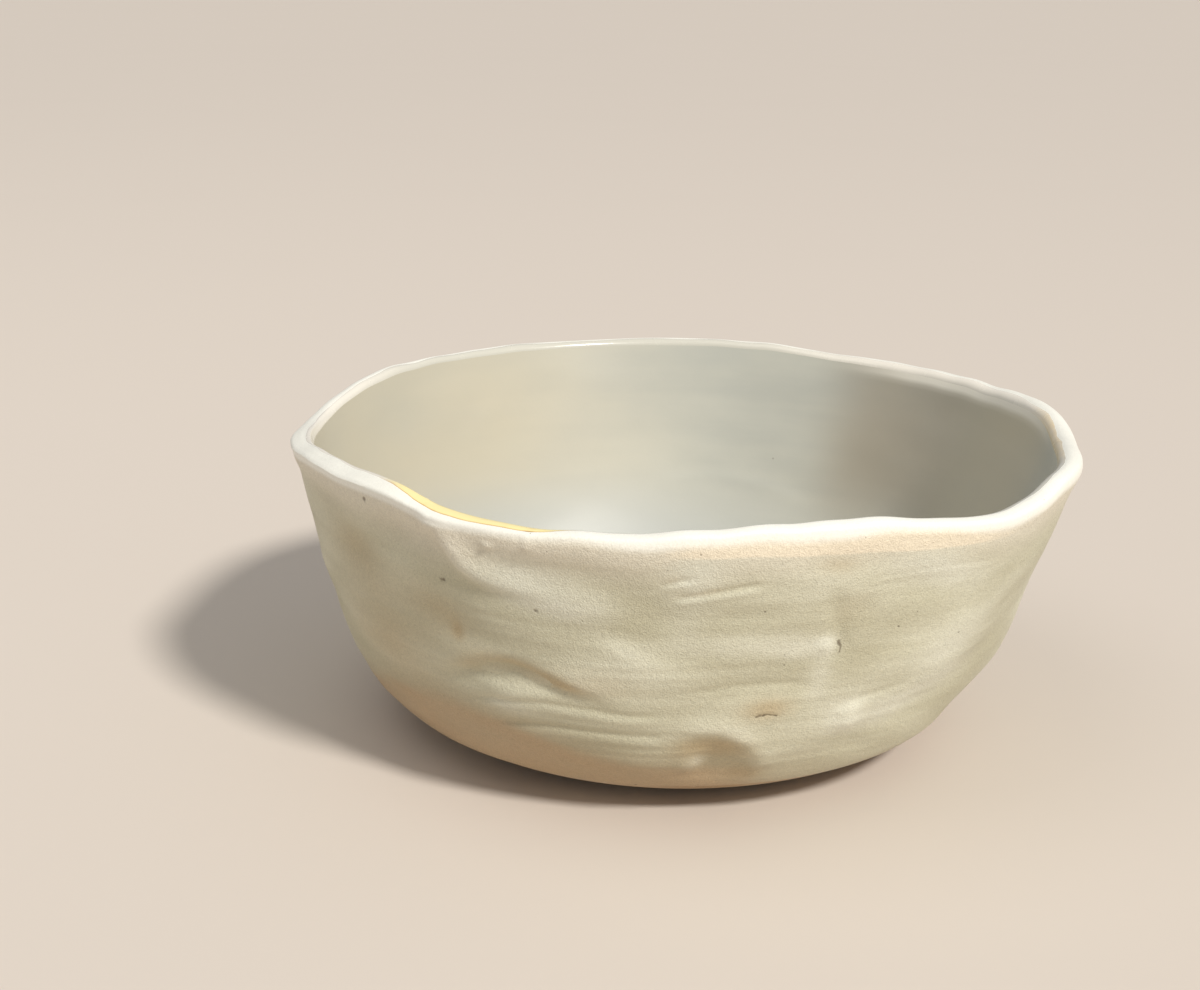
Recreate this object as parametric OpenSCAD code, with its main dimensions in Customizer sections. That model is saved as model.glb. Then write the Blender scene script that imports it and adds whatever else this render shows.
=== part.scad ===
// Hand-built serving bowl: a base slab, two courses of wall and a rim coil, luted together,
// with a satin glaze outside and over the lip, a glossy one inside and a honey line between them.
// The origin is on the table, under the middle of the mouth. +X is the bowl's right, +Y its back.

/* [Overall] */
// Diameter across the lip, over its glaze
rim_d = 230; // [190:1:280]
// Height of the lip above the table, over its glaze, averaged round the bowl
height = 90; // [75:1:120]
// Diameter of the flat foot that the bowl stands on
foot_d = 112; // [90:1:136]
// Place of the foot's middle along X, left of the mouth's middle where it is negative
foot_x = -4.5; // [-8:0.5:8]

/* [Wall profile] */
// Angle at which the underside leaves the foot
foot_angle = 8.5; // [6:0.5:16]
// Reach of the belly: how far the underside runs outwards before the wall turns up
belly_reach = 45; // [35:0.5:55]
// Lean of the wall outwards from upright, just below the lip
lip_lean = 17; // [6:0.5:24]
// Run of the wall below the lip that keeps to this lean
lip_run = 49; // [35:0.5:60]

/* [Thickness] */
// Thickness of the clay at the lip
lip_t = 4.5; // [3.5:0.1:7]
// Thickness of the heel, where the wall turns up from the foot
heel_t = 8; // [7:0.1:11]
// Height of the floor's middle above the table
floor_t = 6; // [4.5:0.1:7]
// Depth of the hollow tapped into the underside
hollow_depth = 1.5; // [0.5:0.1:2.5]
// Width of the flat ring that is left round the hollow
foot_ring_w = 12; // [6:0.5:24]
// Thickness of each coat of glaze
glaze_t = 0.5; // [0.3:0.05:0.8]

/* [Courses] */
// Height that the base slab's edge turns up past the heel, to the luted joint
slab_rise = 2; // [1.5:0.1:6]
// Height of the luted joint between the lower and the upper course
course_joint_h = 48; // [36:0.5:58]
// Depth of the rim coil below the top of the lip
coil_depth = 7; // [5:0.1:12]
// Width of the honey line, as an angle round the inside of the lip
line_angle = 66; // [30:1:80]

/* [Hand forming] */
// How soon the rim's unevenness dies away down the wall, where 1 is evenly
sway_power = 1.3; // [1:0.1:2]
// Columns of facets round the bowl
columns = 60; // [36:12:72]

/* [Hidden] */
$fn = 120;

// How far the lip stands above its mean height, at even steps from the right, round by the back
lip_rise = [-2.5, 0, 0, -0.5, -0.5, 1, 1.5, 1.5, 1.5, 1.5, 1.5, -0.5,
            -3, -2, 1, 2, -1, -2, 0.5, 2.5, 1, -2, 1, 0];
// How far the lip stands outside its mean circle, at the same steps
lip_out = [0, 0, 0, 0, 0, 0, 0.5, 0.5, 0.5, 0.5, 0, -0.5,
           0, 1, -0.5, -1, 0, 0.5, 0, -0.5, 0, 0.5, 0, 0];

// Steps that the curves are drawn in
floor_steps = 3;
heel_steps = 3;
lower_steps = 5;
upper_steps = 4;
lip_steps = 5;
line_steps = 3;

// The outside of the wall is one Bezier curve in the plane of radius and height, from the foot to the lip
foot_r = foot_d / 2;
lip_r = lip_t / 2;
lip_centre = [rim_d / 2, height] - (lip_r + glaze_t) * [1, 1];
lip_axis = [sin(lip_lean), cos(lip_lean)];
lip_side = [cos(lip_lean), -sin(lip_lean)];
lip_start = lip_centre + lip_r * lip_side;
profile = [
    [foot_r, 0],
    [foot_r, 0] + belly_reach * [cos(foot_angle), sin(foot_angle)],
    lip_start - lip_run * lip_axis,
    lip_start
];

function outer(t) =
    let (a = 1 - t)
    a * a * a * profile[0] + 3 * a * a * t * profile[1] + 3 * a * t * t * profile[2] + t * t * t * profile[3];

function inward(t) =
    let (
        a = 1 - t,
        d = a * a * (profile[1] - profile[0]) + 2 * a * t * (profile[2] - profile[1])
            + t * t * (profile[3] - profile[2])
    )
    [-d[1], d[0]] / norm(d);

// The wall thins from the heel to the lip
function wall_t(t) = lip_t + (heel_t - lip_t) * pow(1 - t, 2);

// A point of the wall at curve value t, that far in from the outside
function at_depth(t, depth) = outer(t) + depth * inward(t);

// The inside of the clay, with an optional coat on it
function inner(t, coat = 0) = at_depth(t, wall_t(t) + coat);

// The curve value at which the outside or the inside reaches a height, by halving
function outer_at(z, low = 0, high = 1, turns = 40) =
    let (mid = (low + high) / 2)
    turns == 0 ? mid
    : outer(mid)[1] < z ? outer_at(z, mid, high, turns - 1)
    : outer_at(z, low, mid, turns - 1);

function inner_at(z, low = 0, high = 1, turns = 40) =
    let (mid = (low + high) / 2)
    turns == 0 ? mid
    : inner(mid)[1] < z ? inner_at(z, mid, high, turns - 1)
    : inner_at(z, low, mid, turns - 1);

// Joints: the slab's is level, the others are square to the wall
heel = inner(0);
slab_h = heel[1] + slab_rise;
slab_outer_t = outer_at(slab_h);
slab_inner_t = inner_at(slab_h);
course_t = outer_at(course_joint_h);
coil_t = outer_at(height - coil_depth);

function steps(from, to, n) = [for (i = [0:n]) from + (to - from) * i / n];
function backwards(list) = [for (i = [len(list) - 1:-1:0]) list[i]];
function rest(list) = [for (i = [1:len(list) - 1]) list[i]];

slab_outer = steps(0, slab_outer_t, heel_steps + 2);
heel_inner = steps(0, slab_inner_t, heel_steps);
lower_outer = steps(slab_outer_t, course_t, lower_steps);
lower_inner = steps(slab_inner_t, course_t, lower_steps);
upper_both = steps(course_t, coil_t, upper_steps);
coil_both = [coil_t, 1];
wall_outer = concat(lower_outer, rest(upper_both), rest(coil_both));
wall_inner = concat(heel_inner, rest(lower_inner), rest(upper_both), rest(coil_both));

// The floor is a shallow dish that meets the heel
function floor_point(r, coat = 0) = [r, floor_t + (heel[1] - floor_t) * pow(r / heel[0], 2) + coat];
floor_r = steps(0, heel[0], floor_steps);

// A point of the rounded lip, from 0 at the outside to 180 at the inside, with an optional coat on it
function lip_point(a, coat = 0) = lip_centre + (lip_r + coat) * (cos(a) * lip_side + sin(a) * lip_axis);

line_start = 180 - line_angle;
satin_lip = steps(0, line_start, lip_steps);
honey_lip = steps(line_start, 180, line_steps);

// The hand-formed unevenness: a smooth closed curve through the values listed round the rim
function round_rim(list, a) =
    let (
        n = len(list),
        x = a / 360 * n,
        i = floor(x),
        f = x - i,
        p = list[(i + n - 1) % n],
        q = list[i % n],
        r = list[(i + 1) % n],
        s = list[(i + 2) % n]
    )
    q + f * (r - p) / 2 + f * f * (2 * p - 5 * q + 4 * r - s) / 2 + f * f * f * (3 * q - p - 3 * r + s) / 2;

// Nothing sways at the slab's joint, and everything does at the lip
function sway(z) = pow(max(0, (z - slab_h) / (height - slab_h)), sway_power);

// Where a point of the section stands, at one bearing round the bowl
function placed(p, a) =
    let (w = sway(p[1]), r = p[0] + w * round_rim(lip_out, a))
    [foot_x * (1 - w) + r * cos(a), r * sin(a), p[1] + w * round_rim(lip_rise, a)];

// A closed section carried round the bowl, drawn anticlockwise. A section may start and end on the axis.
module carried_round(section) {
    n = len(section);
    function id(k, j) = (section[j % n][0] == 0 ? 0 : k % columns) * n + j % n;
    // Each patch is cut from its low corner on one column to its high corner on the next
    function patch(k, j) =
        section[(j + 1) % n][1] >= section[j][1]
        ? [[id(k, j), id(k + 1, j + 1), id(k + 1, j)], [id(k, j), id(k, j + 1), id(k + 1, j + 1)]]
        : [[id(k, j), id(k, j + 1), id(k + 1, j)], [id(k + 1, j), id(k, j + 1), id(k + 1, j + 1)]];
    polyhedron(
        points = [for (k = [0:columns - 1], p = section) placed(p, 360 * k / columns)],
        faces = [
            for (k = [0:columns - 1], j = [0:n - 1], f = patch(k, j))
                if (f[0] != f[1] && f[1] != f[2] && f[2] != f[0]) f
        ]
    );
}

// Bare clay disc with a turned-up edge, flat underneath round a tapped hollow
module base_slab() {
    hollow_r = foot_r - foot_ring_w;
    color("BurlyWood")
    translate([foot_x, 0, 0])
    rotate_extrude()
    polygon(concat(
        [[0, hollow_depth], [hollow_r - 2 * hollow_depth, hollow_depth], [hollow_r, 0]],
        [for (t = slab_outer) outer(t)],
        [for (t = backwards(heel_inner)) inner(t)],
        [for (r = rest(backwards(floor_r))) floor_point(r)]
    ));
}

module lower_wall() {
    color("Tan")
    carried_round(concat(
        [for (t = lower_outer) outer(t)],
        [for (t = backwards(lower_inner)) inner(t)]
    ));
}

module upper_wall() {
    color("Wheat")
    carried_round(concat(
        [for (t = upper_both) outer(t)],
        [for (t = backwards(upper_both)) inner(t)]
    ));
}

// The lip, rounded over the top
module rim_coil() {
    color("Cornsilk")
    carried_round(concat(
        [for (t = coil_both) outer(t)],
        [for (a = rest(concat(satin_lip, rest(honey_lip)))) lip_point(a)],
        [inner(coil_t)]
    ));
}

// Satin coat on the outside of both courses and the coil, from the slab over the lip to the honey line
module outer_glaze() {
    color("LightGoldenrodYellow")
    carried_round(concat(
        [for (t = wall_outer) at_depth(t, -glaze_t)],
        [for (a = rest(satin_lip)) lip_point(a, glaze_t)],
        [for (a = backwards(rest(satin_lip))) lip_point(a)],
        [for (t = backwards(wall_outer)) outer(t)]
    ));
}

// Glossy coat over the floor and up the inside to the honey line
module liner_glaze() {
    color("Gainsboro")
    carried_round(concat(
        [for (r = floor_r) floor_point(r)],
        [for (t = rest(wall_inner)) inner(t)],
        [for (t = backwards(rest(wall_inner))) inner(t, glaze_t)],
        [for (r = backwards(floor_r)) floor_point(r, glaze_t)]
    ));
}

// Honey glaze line on the inside of the lip, between the other two coats
module rim_line() {
    color("Goldenrod")
    carried_round(concat(
        [for (a = backwards(honey_lip)) lip_point(a)],
        [for (a = honey_lip) lip_point(a, glaze_t)]
    ));
}

base_slab();
lower_wall();
upper_wall();
rim_coil();
outer_glaze();
liner_glaze();
rim_line();
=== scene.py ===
import math

import bmesh
import bpy
import numpy as np
from mathutils import Matrix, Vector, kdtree


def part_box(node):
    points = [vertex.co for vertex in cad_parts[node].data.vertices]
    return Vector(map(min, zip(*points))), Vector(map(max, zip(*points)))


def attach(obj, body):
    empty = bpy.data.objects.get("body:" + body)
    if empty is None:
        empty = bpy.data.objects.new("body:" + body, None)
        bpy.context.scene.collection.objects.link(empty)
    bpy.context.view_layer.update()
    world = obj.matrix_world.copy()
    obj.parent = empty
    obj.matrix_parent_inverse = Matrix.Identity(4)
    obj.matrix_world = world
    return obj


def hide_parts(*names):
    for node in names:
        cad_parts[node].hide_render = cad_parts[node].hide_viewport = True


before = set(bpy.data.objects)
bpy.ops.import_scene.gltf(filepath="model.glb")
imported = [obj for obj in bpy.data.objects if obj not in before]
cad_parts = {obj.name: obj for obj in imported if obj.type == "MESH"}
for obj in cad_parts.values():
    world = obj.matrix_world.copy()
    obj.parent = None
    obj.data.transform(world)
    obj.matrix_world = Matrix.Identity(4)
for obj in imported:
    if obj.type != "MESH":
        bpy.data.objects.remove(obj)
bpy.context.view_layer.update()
scene = bpy.context.scene
mm = 0.001
print("frame loaded:", len(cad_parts), "nodes")

cameraSetup = {
    "away": 0.5195,  # in front of the middle of the mouth
    "height": 0.218,
    "lookDown": 16.33,  # degrees
    "lookLeft": 2.92,
    "roll": 0.69,
    "lens": 54.0,
    "sensor": 36.0,
}


def addCamera(setup):
    bpy.ops.object.select_all(action="DESELECT")
    bpy.ops.object.camera_add()
    camera = bpy.context.object
    camera.data.lens = setup["lens"]
    camera.data.sensor_fit = "HORIZONTAL"
    camera.data.sensor_width = setup["sensor"]
    camera.data.clip_start = 0.01
    camera.matrix_world = (
        Matrix.Translation((0, -setup["away"], setup["height"]))
        @ Matrix.Rotation(math.radians(setup["lookLeft"]), 4, "Z")
        @ Matrix.Rotation(math.radians(90 - setup["lookDown"]), 4, "X")
        @ Matrix.Rotation(math.radians(setup["roll"]), 4, "Z")
    )
    scene.camera = camera


addCamera(cameraSetup)
print("camera placed")

# the bowl's own sizes in millimetres, as its solids have them
bowlForm = {
    "rimD": 230.0,
    "height": 90.0,
    "footD": 112.0,
    "footAngle": 8.5,
    "bellyReach": 45.0,
    "lipLean": 17.0,
    "lipRun": 49.0,
    "lipT": 4.5,
    "heelT": 8.0,
    "floorT": 6.0,
    "hollowDepth": 1.5,
    "footRingW": 12.0,
    "glazeT": 0.5,
    "slabRise": 2.0,
    "courseJointH": 48.0,
    "coilDepth": 7.0,
    "lineAngle": 66.0,
    "swayPower": 1.3,
    "columns": 60,  # facets round the solids
}


def fromAngle(degrees):
    return np.array([math.cos(math.radians(degrees)), math.sin(math.radians(degrees))])


def smooth(x, low, high):
    u = np.clip((np.asarray(x, float) - low) / (high - low), 0, 1)
    return u * u * (3 - 2 * u)


def turnFrom(bearing, middle):
    return (bearing - middle + 180) % 360 - 180


# the round section, as radius and height: the outside is one curve from the foot to the lip
footR = bowlForm["footD"] / 2
lipR = bowlForm["lipT"] / 2
glazeT = bowlForm["glazeT"]
lipAxis = fromAngle(90 - bowlForm["lipLean"])
lipSide = np.array([lipAxis[1], -lipAxis[0]])
lipCentre = np.array([bowlForm["rimD"] / 2, bowlForm["height"]]) - lipR - glazeT
lipStart = lipCentre + lipR * lipSide
footEdge = np.array([footR, 0.0])
wallCurve = [
    footEdge,
    footEdge + bowlForm["bellyReach"] * fromAngle(bowlForm["footAngle"]),
    lipStart - bowlForm["lipRun"] * lipAxis,
    lipStart,
]


def outsideAt(t):
    t = np.asarray(t, float)[..., None]
    a, b, c, d = wallCurve
    return (1 - t) ** 3 * a + 3 * (1 - t) ** 2 * t * b + 3 * (1 - t) * t * t * c + t ** 3 * d


def inwardAt(t):
    t = np.asarray(t, float)[..., None]
    a, b, c, d = wallCurve
    run = (1 - t) ** 2 * (b - a) + 2 * (1 - t) * t * (c - b) + t * t * (d - c)
    run = run / np.linalg.norm(run, axis=-1, keepdims=True)
    return np.stack([-run[..., 1], run[..., 0]], -1)


def wallAt(t):
    return bowlForm["lipT"] + (bowlForm["heelT"] - bowlForm["lipT"]) * (1 - np.asarray(t, float)) ** 2


def depthAt(t, depth):
    return outsideAt(t) + np.broadcast_to(depth, np.shape(t))[..., None] * inwardAt(t)


curveSteps = np.linspace(0, 1, 2001)
curvePoints = outsideAt(curveSteps)
curveRuns = np.concatenate([[0], np.cumsum(np.linalg.norm(np.diff(curvePoints, axis=0), axis=1))])
curveInside = depthAt(curveSteps, wallAt(curveSteps))


def tAtHeight(z):
    return np.interp(z, curvePoints[:, 1], curveSteps)


def tInsideAtHeight(z):
    return np.interp(z, curveInside[:, 1], curveSteps)


def runAt(t):
    return np.interp(t, curveSteps, curveRuns)


def tAtRun(run):
    return np.interp(run, curveRuns, curveSteps)


heel = curveInside[0]
slabH = heel[1] + bowlForm["slabRise"]
slabOuterT, slabInnerT = float(tAtHeight(slabH)), float(tInsideAtHeight(slabH))
courseT = float(tAtHeight(bowlForm["courseJointH"]))
coilT = float(tAtHeight(bowlForm["height"] - bowlForm["coilDepth"]))
lineStart = 180 - bowlForm["lineAngle"]
slabRun, lipStartRun = float(runAt(slabOuterT)), float(curveRuns[-1])
print("wall runs %.1f mm from the slab's joint to the lip" % (lipStartRun - slabRun))


# each row of a section: radius, height, curve value, share of the way in through the wall,
# angle round the lip or -1 off it, coat under it in mm, and 1 on the glazed skin
def wallRows(ts, depth, skin=0):
    ts = np.asarray(ts, float)
    depth = np.broadcast_to(depth, ts.shape)
    inShare = np.clip(depth / wallAt(ts), 0, 1)
    rest = [np.full(ts.shape, v, float) for v in (-1, 0, skin)]
    return np.column_stack([depthAt(ts, depth), ts, inShare, *rest])


def lipRows(angles, coat, skin=0):
    angles = np.asarray(angles, float)
    turn = np.radians(angles)[:, None]
    place = lipCentre + (lipR + coat) * (np.cos(turn) * lipSide + np.sin(turn) * lipAxis)
    rest = [np.full(angles.shape, v, float) for v in (coat, skin)]
    return np.column_stack([place, np.ones(angles.shape), angles / 180, angles, *rest])


def floorRows(radii, coat):
    radii = np.asarray(radii, float)
    level = bowlForm["floorT"] + (heel[1] - bowlForm["floorT"]) * (radii / heel[0]) ** 2 + coat
    rest = [np.full(radii.shape, v, float) for v in (0, 1, -1, coat, 0)]
    return np.column_stack([radii, level, *rest])


def plainRows(points):
    points = np.asarray(points, float)
    rest = [np.full(len(points), v, float) for v in (0, 0, -1, 0, 0)]
    return np.column_stack([points, *rest])


# the rim's unevenness is read off the crown of the rim coil's solid, then carried round as a smooth curve
def swayAt(z):
    u = np.maximum(0, (np.asarray(z, float) - slabH) / (bowlForm["height"] - slabH))
    return u ** bowlForm["swayPower"]


def roundCurve(values):
    waves = np.fft.rfft(values) / len(values)
    weights = np.full(len(waves), 2.0)
    weights[0] = 1
    if len(values) % 2 == 0:
        weights[-1] = 1

    def at(bearing):
        turn = np.radians(np.asarray(bearing, float))
        total = np.zeros(turn.shape)
        for k, (wave, weight) in enumerate(zip(waves, weights)):
            total += weight * (wave.real * np.cos(k * turn) - wave.imag * np.sin(k * turn))
        return total

    return at


def readRim():
    low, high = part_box("base_slab")
    footX = (low.x + high.x) / 2 / mm
    corners = np.array([v.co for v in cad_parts["rim_coil"].data.vertices]) / mm
    crown = lipRows([lineStart], 0)[0]
    sway = float(swayAt(crown[1]))
    across = corners[:, 0] - footX * (1 - sway)
    bearing = np.degrees(np.arctan2(corners[:, 1], across)) % 360
    step = 360 / bowlForm["columns"]
    rise, out = [], []
    for k in range(bowlForm["columns"]):
        away = np.abs(turnFrom(bearing, k * step))
        column = np.flatnonzero(away < step / 4)
        top = column[np.argmax(corners[column, 2])]
        rise.append((corners[top, 2] - crown[1]) / sway)
        out.append((np.hypot(across[top], corners[top, 1]) - crown[0]) / sway)
    return footX, rise, out


footX, rimRises, rimOuts = readRim()
lipRise, lipOut = roundCurve(rimRises), roundCurve(rimOuts)
print("rim read, it rises %.1f to %.1f mm" % (min(rimRises), max(rimRises)))

# marks of the hand on the wall, by bearing (270 faces front, 360 right) and height of the section in mm
handMarks = {
    "seed": 11,
    "insideShare": 0.16,  # how much of a dent shows on the inside
    "lipCalm": (7, 0.6, 0.45),  # mm below the lip where marks calm, and how much dents and folds do
    "topCalm": (45, 70, 0.6),  # mm above the slab between which the rings calm, and how much
    "wiped": (340, (0.6, 1.0), 0.6),  # bearing that was wiped smoother, cosines off it and how much
    "footFade": (8, 6),  # mm above the slab by which the broad and the fine marks are at full strength
    "deepest": 0.42,  # mm that a fine mark cuts into the glaze at most
    "wobbles": {"count": 16, "turns": (2, 10), "tall": (28, 75), "size": 0.16},
    "lumps": {"count": 20, "turns": (9, 24), "tall": (13, 26), "size": 0.045},
    "rings": {"count": 18, "turns": (1, 7), "tall": (3.0, 8.0), "size": 0.016},
    # bearing, height, width, tall, turn in degrees, depth in mm: a negative depth stands proud
    "dents": [
        (217.5, 68, 10, 7, 0, 1.0),
        (216, 57, 10, 6, 10, -0.6),
        (228, 79, 10, 8, 30, 0.8),
        (236.5, 61.5, 9, 6, -12, 1.0),
        (259, 70.4, 9, 4, -15, -0.4),
        (263, 56.8, 8, 3.2, -22, -0.5),
        (257, 67, 10, 5, -15, -0.6),
        (247, 50, 17, 9.5, -8, 1.2),
        (268.3, 65.5, 7, 3.0, -10, 0.3),
        (279, 66.8, 9, 3.4, 0, 0.5),
        (294, 67.5, 6, 5, 0, 0.4),
        (279, 53.5, 24, 8, 0, -0.9),
        (281, 44.2, 18, 3, 2, 0.4),
        (245.6, 40.0, 10, 3.2, -3, -1.0),
        (248, 34.2, 8, 2.2, 4, -0.6),
        (277.4, 20, 10.5, 9.3, -15, 2.6),
        (281, 30.4, 5, 2.4, -30, -0.5),
        (273.6, 19.5, 3.2, 4.6, 12, -0.9),
        (297.6, 33.4, 3.4, 4.4, 8, -1.0),
        (302, 22.5, 6, 3, 0, 0.4),
        (290.5, 56.0, 2.4, 2.0, 0, -0.5),
        (302, 72, 12, 4, -4, 0.4),
        (312, 46, 16, 9, 0, -0.7),
        (318, 66, 20, 7, 0, -0.6),
        (40, 55, 22, 9, 10, 0.7),
        (75, 68, 18, 8, -8, -0.6),
        (110, 48, 24, 9, 6, 0.8),
        (140, 66, 16, 10, 0, 0.7),
        (168, 40, 22, 8, 12, -0.6),
        (343, 43, 30, 14, 0, 1.1),
        (328, 22, 24, 9, 0, 1.1),
    ],
    # small nubs and pits, on the glazed skin alone, the same way
    "nubs": [
        (245, 84.5, 1.0, 1.0, 0, -0.7), (250.5, 86, 0.9, 0.9, 0, -0.6), (238.2, 55.5, 1.4, 2.2, 0, 0.3),
    ],
    # lines in the wall, left to right. A crest: its rise, and its fall above and below. A hollow: its depth,
    # how far under the crest it lies, and its spread. Then the length over which the ends give out. All in mm
    "folds": [
        {"path": [(233.2, 96), (236, 89), (237.6, 86), (239, 82.6), (240, 80), (241, 77.7), (242.4, 76),
                  (245, 74.6), (248.5, 73.4), (252.5, 71.6), (256.5, 69.6), (261, 67)],
         "crest": (2.05, 5.0, 3.2), "hollow": (0.25, 5.4, 3.4), "taper": (6.0, 52.0)},
        {"path": [(231, 42.5), (235, 45), (238, 46.8), (241, 48.6), (243.5, 50.2), (246.8, 51.6),
                  (249.6, 51), (252.2, 49.4), (255, 47.8), (258.2, 46), (262, 44.2), (265, 43)],
         "upright": 6, "crest": (0.8, 5.0, 2.8), "hollow": (0.9, 4.4, 3.0), "taper": (18.0, 19.0)},
        {"path": [(270, 31.6), (274, 33), (278, 32.4), (280.6, 29.8), (283, 26), (285, 21.8),
                  (286.2, 17)],
         "crest": (0.75, 4.5, 2.6), "hollow": (0.5, 5.0, 4.0), "taper": (9.0, 6.0)},
        {"path": [(288, 75), (289.8, 71.5), (291.6, 63), (293, 55), (293.6, 49)],
         "crest": (-0.55, 2.6, 2.6), "hollow": (0.0, 1.0, 2.0), "taper": 9.0},
        {"path": [(60, 40), (80, 46), (96, 43)],
         "crest": (0.5, 6.0, 2.0), "hollow": (0.5, 3.0, 2.5), "taper": 10.0},
        {"path": [(126, 78), (134, 70), (137, 60)],
         "crest": (0.8, 6.0, 4.0), "hollow": (0.4, 5.0, 4.0), "taper": 9.0},
    ],
    # fine lines, on the glazed skin alone, the same way
    "creases": [
        {"path": [(267.2, 75.9), (268.6, 76.6), (270, 77.3), (271.8, 78)],
         "crest": (-0.40, 1.0, 0.6), "hollow": (-0.22, 1.5, 0.9), "taper": 2.5},
        {"path": [(269.0, 71.9), (270.6, 72.3), (272.4, 72.9), (274.6, 73.7), (277.6, 74.5), (281, 75.3)],
         "crest": (-0.42, 1.2, 0.6), "hollow": (-0.26, 1.6, 1.0), "taper": (2.5, 5.0)},
        {"path": [(293, 74.6), (300, 76), (306, 76.9), (312, 76.9), (318, 76.6)],
         "crest": (-0.06, 0.8, 0.6), "hollow": (-0.06, 1.3, 0.9), "taper": 8.0},
        {"path": [(237, 34), (243.5, 37.2), (250.8, 38.9), (258, 38.4), (264.8, 37.4), (270.8, 38.2)],
         "crest": (-0.32, 1.2, 0.9), "hollow": (-0.22, 2.2, 1.4), "taper": 9.0},
        {"path": [(241, 27.6), (245, 29.5), (252.2, 31), (259.5, 31), (266.2, 30.6), (271, 30.8)],
         "crest": (-0.38, 1.3, 0.9), "hollow": (-0.26, 2.4, 1.5), "taper": 7.0},
        {"path": [(270, 44.6), (274.8, 45.3), (278.8, 46.2), (286.8, 45.6), (291.5, 43.2)],
         "crest": (-0.22, 1.6, 1.2), "hollow": (-0.12, 2.4, 1.6), "taper": 10.0},
        {"path": [(293.6, 37.6), (295.2, 38.0), (298.5, 39.2), (304, 41.2), (308, 42.2)],
         "crest": (-0.18, 1.2, 1.0), "hollow": (-0.12, 2.2, 1.4), "taper": 4.0},
        {"path": [(282.2, 36.8), (283.4, 37.2), (284.6, 37.3), (285.9, 36.6)],
         "crest": (-0.2, 0.5, 0.5), "hollow": (0.0, 1.0, 1.0), "taper": 1.5},
    ],
}


def throughPoints(values, steps):
    values = np.asarray(values, float)
    ends = np.concatenate([[2 * values[0] - values[1]], values, [2 * values[-1] - values[-2]]])
    i = np.clip(np.floor(steps).astype(int), 0, len(values) - 2)
    f = steps - i
    p, q, r, s = ends[i], ends[i + 1], ends[i + 2], ends[i + 3]
    bend, twist = 2 * p - 5 * q + 4 * r - s, 3 * q - p - 3 * r + s
    return q + (f * (r - p) + f ** 2 * bend + f ** 3 * twist) / 2


def pressDent(bearing, run, mark):
    place, height, width, tall, turn, depth = mark
    t = tAtHeight(height)
    across = np.radians(turnFrom(bearing, place)) * outsideAt(t)[0]
    up = run - runAt(t)
    c, s = fromAngle(turn)
    u, v = (across * c + up * s) / width, (up * c - across * s) / tall
    return -depth * np.exp(-(u * u + v * v))


def drawFold(bearing, run, mark):
    path = np.array(mark["path"], float)
    rise, above, below = mark["crest"]
    depth, under, spread = mark["hollow"]
    middle = path.mean(0)
    scale = math.radians(1) * outsideAt(tAtHeight(middle[1]))[0]
    steps = np.linspace(0, len(path) - 1, 20 * (len(path) - 1) + 1)  # 20 to each span
    lineX = throughPoints((path[:, 0] - middle[0]) * scale, steps)
    lineY = throughPoints(runAt(tAtHeight(path[:, 1])), steps)
    x, y = turnFrom(bearing, middle[0]) * scale, run
    reach = 3 * max(above, below, under + spread)  # past which the fold is flat
    close = np.flatnonzero(
        (x > lineX.min() - reach) & (x < lineX.max() + reach)
        & (y > lineY.min() - reach) & (y < lineY.max() + reach)
    )
    dx, dy = x[close, None] - lineX, y[close, None] - lineY
    nearest = np.argmin((mark.get("upright", 1) * dx) ** 2 + dy * dy, axis=1)
    each = np.arange(len(close))
    dx, dy = dx[each, nearest], dy[each, nearest]
    alongX, alongY = np.gradient(lineX)[nearest], np.gradient(lineY)[nearest]
    side = (alongX * dy - alongY * dx) / np.hypot(alongX, alongY)
    lengths = np.concatenate([[0], np.cumsum(np.hypot(np.diff(lineX), np.diff(lineY)))])
    first, last = np.broadcast_to(mark["taper"], 2)
    ends = smooth(lengths[nearest], 0, first) * smooth(lengths[-1] - lengths[nearest], 0, last)
    shape = rise * np.exp(-((side / np.where(side > 0, above, below)) ** 2))
    shape -= depth * np.exp(-(((side + under) / spread) ** 2))
    moved = np.zeros(np.shape(run))
    moved[close] = shape * ends
    return moved


def sumWaves(bearing, run, waves, rng):
    total = np.zeros(np.shape(run))
    for _ in range(waves["count"]):
        turns = rng.integers(*waves["turns"])
        tall = rng.uniform(*waves["tall"])
        phases = rng.uniform(0, 2 * math.pi, 2)
        slope = rng.uniform(-0.4, 0.4)
        turn = np.radians(bearing)
        total += waves["size"] * np.cos(turns * turn + phases[0]) * np.cos(
            2 * math.pi * run / tall + slope * np.sin(turn + phases[0]) + phases[1]
        )
    return total


def broadRelief(bearing, run):
    rng = np.random.default_rng(handMarks["seed"])
    total = sumWaves(bearing, run, handMarks["wobbles"], rng)
    total += sumWaves(bearing, run, handMarks["lumps"], rng)
    for mark in handMarks["dents"]:
        total += pressDent(bearing, run, mark)
    below, dentsOff, foldsOff = handMarks["lipCalm"]
    atLip = smooth(run, lipStartRun - below, lipStartRun)
    total *= 1 - dentsOff * atLip
    for mark in handMarks["folds"]:
        total += drawFold(bearing, run, mark) * (1 - foldsOff * atLip)
    return total * smooth(run, slabRun, slabRun + handMarks["footFade"][0])


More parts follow.
